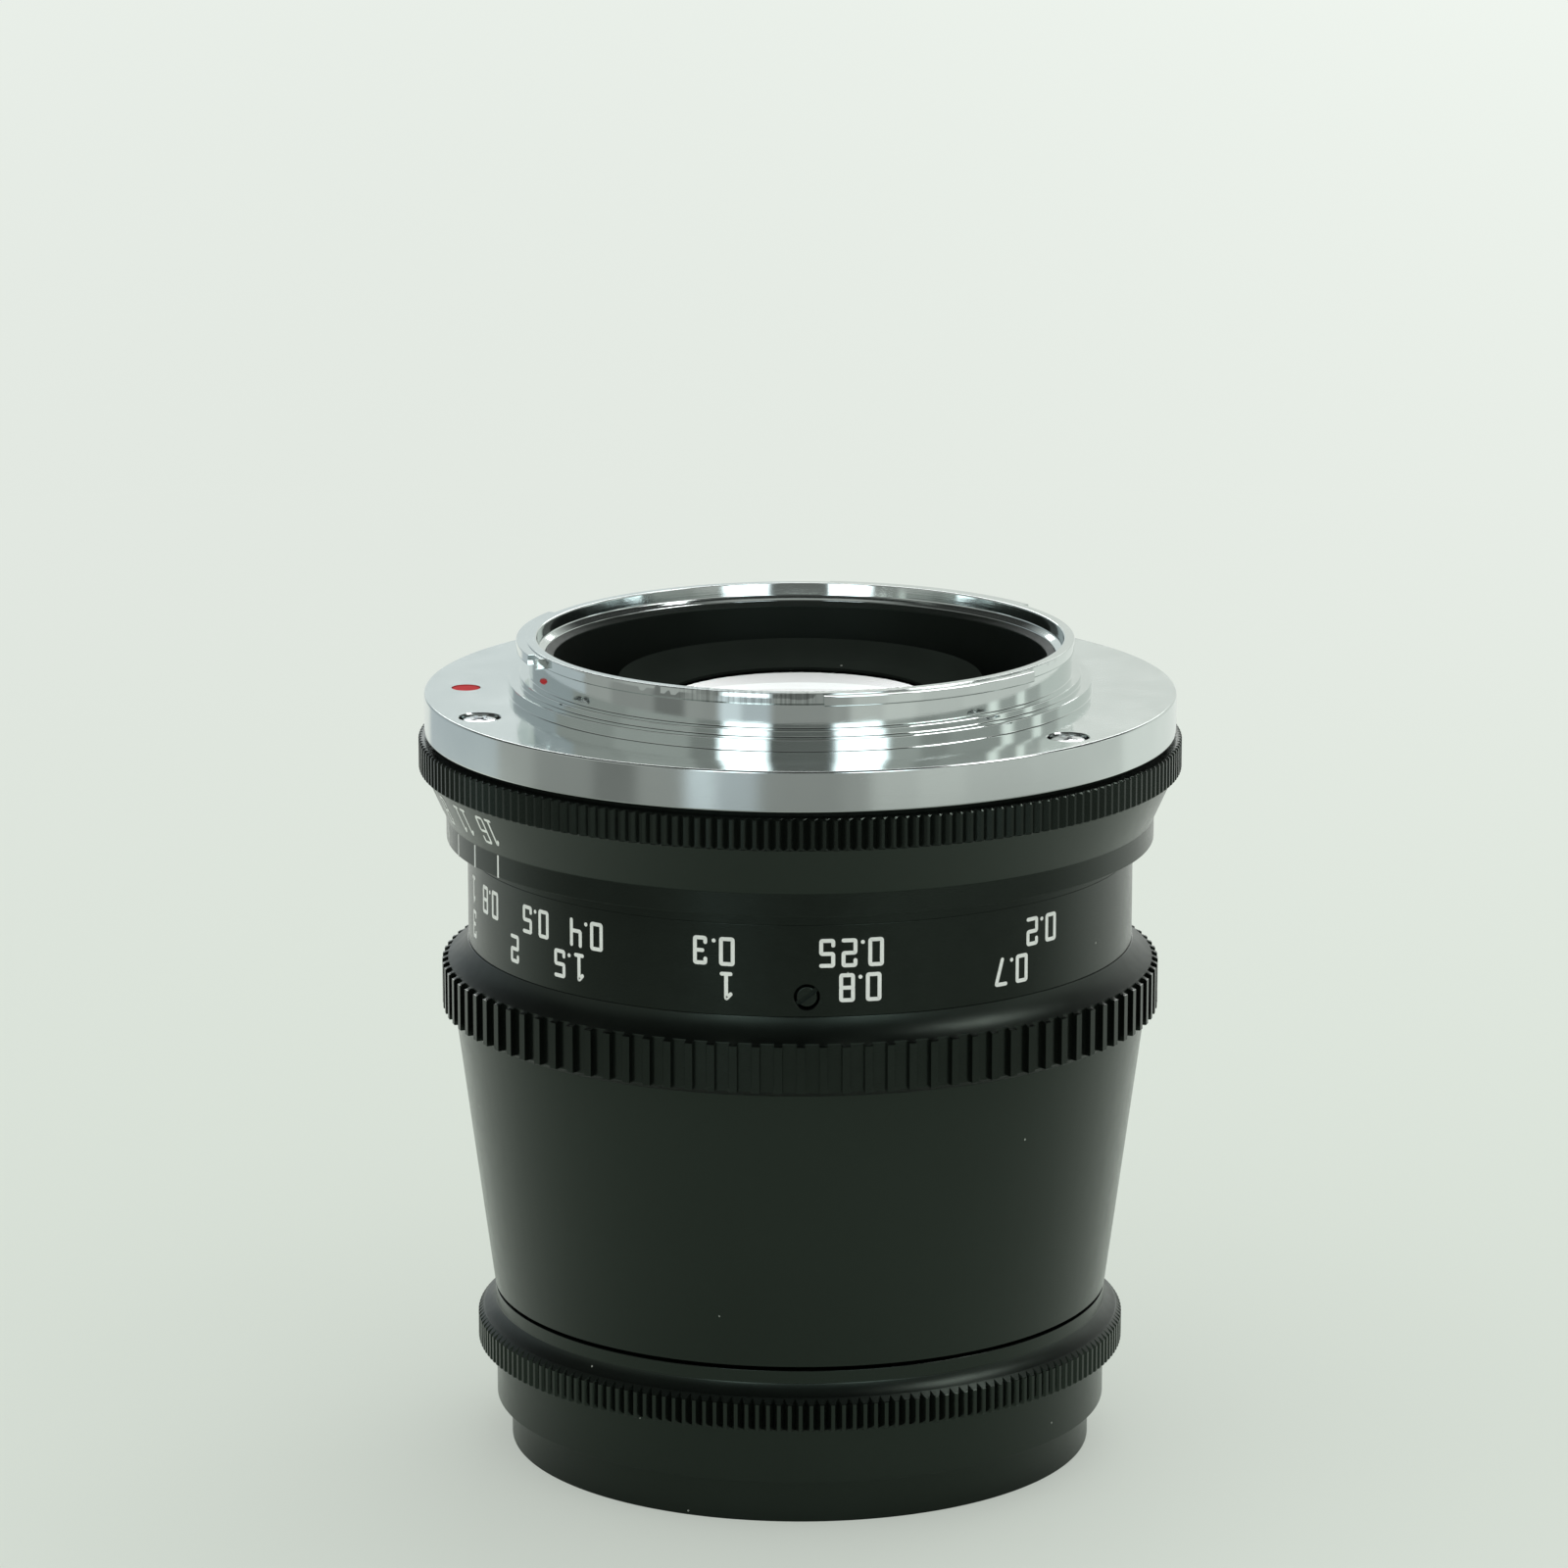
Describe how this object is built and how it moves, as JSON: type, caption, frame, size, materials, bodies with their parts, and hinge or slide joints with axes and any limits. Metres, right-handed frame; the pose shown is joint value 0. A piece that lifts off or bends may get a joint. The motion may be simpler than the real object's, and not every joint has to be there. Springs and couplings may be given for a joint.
{
  "type": "wide-angle prime lens",
  "caption": "Manual-focus wide-angle prime lens standing on its front rim: turning aperture and focus rings, moving lens block, working iris and bright bayonet mount.",
  "frame": {"origin": "centre of the front rim's resting face, on the optical axis", "axes": "+Z along the optical axis from the front rim to the bayonet mount; -X is the top of the lens as mounted on a camera, where the index mark and the red mount dot are; -Y faces the viewer of the picture"},
  "size_m": [0.0576, 0.0576, 0.0625],
  "materials": {
    "mount_chrome": "bright satin plating over fine turning marks",
    "screw_steel": "bright steel, polished heads",
    "red_mark": "glossy red enamel",
    "baffle_black": "matt black anodised",
    "ring_black": "satin black anodised",
    "inner_black": "matt black anodised",
    "black_screw": "blackened steel",
    "helicoid_brass": "turned brass, greased",
    "spring_steel": "drawn wire",
    "blade_black": "matt black coated sheet steel",
    "coated_glass": "polished, anti-reflection coated"
  },
  "bodies": {
    "fixed_barrel": {"bayonet_mount": "mount_chrome", "mount_screws": "screw_steel", "mount_index_dot": "red_mark", "rear_baffle": "baffle_black", "fixed_barrel": "inner_black", "index_ring": "ring_black", "focus_retaining_ring": "inner_black", "guide_keys": "helicoid_brass", "guide_key_screws": "screw_steel", "click_spring": "spring_steel"},
    "aperture_ring": {"aperture_ring": "ring_black", "aperture_drive_pin": "screw_steel", "iris_drive_ring": "inner_black"},
    "click_ball": {"click_ball": "screw_steel"},
    "focus_ring": {"focus_ring": "ring_black", "helicoid_sleeve": "helicoid_brass", "distance_scale_ring": "ring_black", "scale_set_screws": "black_screw", "focus_stop_screw": "screw_steel"},
    "lens_block": {"lens_barrel": "inner_black", "front_collar": "ring_black", "front_name_ring": "ring_black", "front_retaining_ring": "inner_black", "rear_cell": "ring_black", "rear_retaining_ring": "ring_black", "iris_base_plate": "inner_black", "iris_cover_ring": "inner_black", "lens_element_1": "coated_glass", "lens_element_2": "coated_glass", "lens_element_3": "coated_glass", "lens_element_4": "coated_glass", "lens_element_5": "coated_glass", "lens_element_6": "coated_glass", "lens_element_7": "coated_glass", "lens_element_8": "coated_glass", "spacer_ring_1": "inner_black", "spacer_ring_2": "inner_black", "spacer_ring_3": "inner_black", "spacer_ring_4": "inner_black"},
    "iris_cam": {"iris_cam_ring": "inner_black", "iris_cam_pin": "screw_steel"},
    "blade_01": {"iris_blade_01": "blade_black"},
    "blade_02": {"iris_blade_02": "blade_black"},
    "blade_03": {"iris_blade_03": "blade_black"},
    "blade_04": {"iris_blade_04": "blade_black"},
    "blade_05": {"iris_blade_05": "blade_black"},
    "blade_06": {"iris_blade_06": "blade_black"},
    "blade_07": {"iris_blade_07": "blade_black"},
    "blade_08": {"iris_blade_08": "blade_black"},
    "blade_09": {"iris_blade_09": "blade_black"},
    "blade_10": {"iris_blade_10": "blade_black"}
  },
  "joints": [
    {"name": "aperture_turn", "type": "hinge", "parent": "fixed_barrel", "child": "aperture_ring", "pos_m": [0, 0, 0.051], "axis": [0, 0, 1], "range_deg": [-31.8, 23.85]},
    {"name": "click_ball_press", "type": "slide", "parent": "fixed_barrel", "child": "click_ball", "axis": [1, 0, 0], "range_m": [-0.00015, 0], "stiffness_N_per_m": 300, "springref_m": 0.001},
    {"name": "focus_turn", "type": "hinge", "parent": "fixed_barrel", "child": "focus_ring", "pos_m": [0, 0, 0.03], "axis": [0, 0, 1], "range_deg": [-136.3, 9.5]},
    {"name": "focus_travel", "type": "slide", "parent": "fixed_barrel", "child": "lens_block", "axis": [0, 0, 1], "range_m": [-0.00315, 0.00022]},
    {"name": "iris_cam_turn", "type": "hinge", "parent": "lens_block", "child": "iris_cam", "pos_m": [0, 0, 0.035], "axis": [0, 0, 1], "range_deg": [-31.81, 23.86]},
    {"name": "blade_01_turn", "type": "hinge", "parent": "lens_block", "child": "blade_01", "pos_m": [0.0142, 0, 0.033], "axis": [0, 0, 1], "range_deg": [-13.77, 18.36]},
    {"name": "blade_02_turn", "type": "hinge", "parent": "lens_block", "child": "blade_02", "pos_m": [0.01149, 0.00835, 0.033], "axis": [0, 0, 1], "range_deg": [-13.77, 18.36]},
    {"name": "blade_03_turn", "type": "hinge", "parent": "lens_block", "child": "blade_03", "pos_m": [0.00439, 0.0135, 0.033], "axis": [0, 0, 1], "range_deg": [-13.77, 18.36]},
    {"name": "blade_04_turn", "type": "hinge", "parent": "lens_block", "child": "blade_04", "pos_m": [-0.00439, 0.0135, 0.033], "axis": [0, 0, 1], "range_deg": [-13.77, 18.36]},
    {"name": "blade_05_turn", "type": "hinge", "parent": "lens_block", "child": "blade_05", "pos_m": [-0.01149, 0.00835, 0.033], "axis": [0, 0, 1], "range_deg": [-13.77, 18.36]},
    {"name": "blade_06_turn", "type": "hinge", "parent": "lens_block", "child": "blade_06", "pos_m": [-0.0142, 0, 0.033], "axis": [0, 0, 1], "range_deg": [-13.77, 18.36]},
    {"name": "blade_07_turn", "type": "hinge", "parent": "lens_block", "child": "blade_07", "pos_m": [-0.01149, -0.00835, 0.033], "axis": [0, 0, 1], "range_deg": [-13.77, 18.36]},
    {"name": "blade_08_turn", "type": "hinge", "parent": "lens_block", "child": "blade_08", "pos_m": [-0.00439, -0.0135, 0.033], "axis": [0, 0, 1], "range_deg": [-13.77, 18.36]},
    {"name": "blade_09_turn", "type": "hinge", "parent": "lens_block", "child": "blade_09", "pos_m": [0.00439, -0.0135, 0.033], "axis": [0, 0, 1], "range_deg": [-13.77, 18.36]},
    {"name": "blade_10_turn", "type": "hinge", "parent": "lens_block", "child": "blade_10", "pos_m": [0.01149, -0.00835, 0.033], "axis": [0, 0, 1], "range_deg": [-13.77, 18.36]}
  ],
  "couplings": [
    {"joint": "focus_travel", "follows": "focus_turn", "m_per_rad": 0.0013178},
    {"joint": "iris_cam_turn", "follows": "aperture_turn", "ratio": 1},
    {"joint": "blade_01_turn", "follows": "aperture_turn", "ratio": -0.57682},
    {"joint": "blade_02_turn", "follows": "aperture_turn", "ratio": -0.57682},
    {"joint": "blade_03_turn", "follows": "aperture_turn", "ratio": -0.57682},
    {"joint": "blade_04_turn", "follows": "aperture_turn", "ratio": -0.57682},
    {"joint": "blade_05_turn", "follows": "aperture_turn", "ratio": -0.57682},
    {"joint": "blade_06_turn", "follows": "aperture_turn", "ratio": -0.57682},
    {"joint": "blade_07_turn", "follows": "aperture_turn", "ratio": -0.57682},
    {"joint": "blade_08_turn", "follows": "aperture_turn", "ratio": -0.57682},
    {"joint": "blade_09_turn", "follows": "aperture_turn", "ratio": -0.57682},
    {"joint": "blade_10_turn", "follows": "aperture_turn", "ratio": -0.57682}
  ]
}
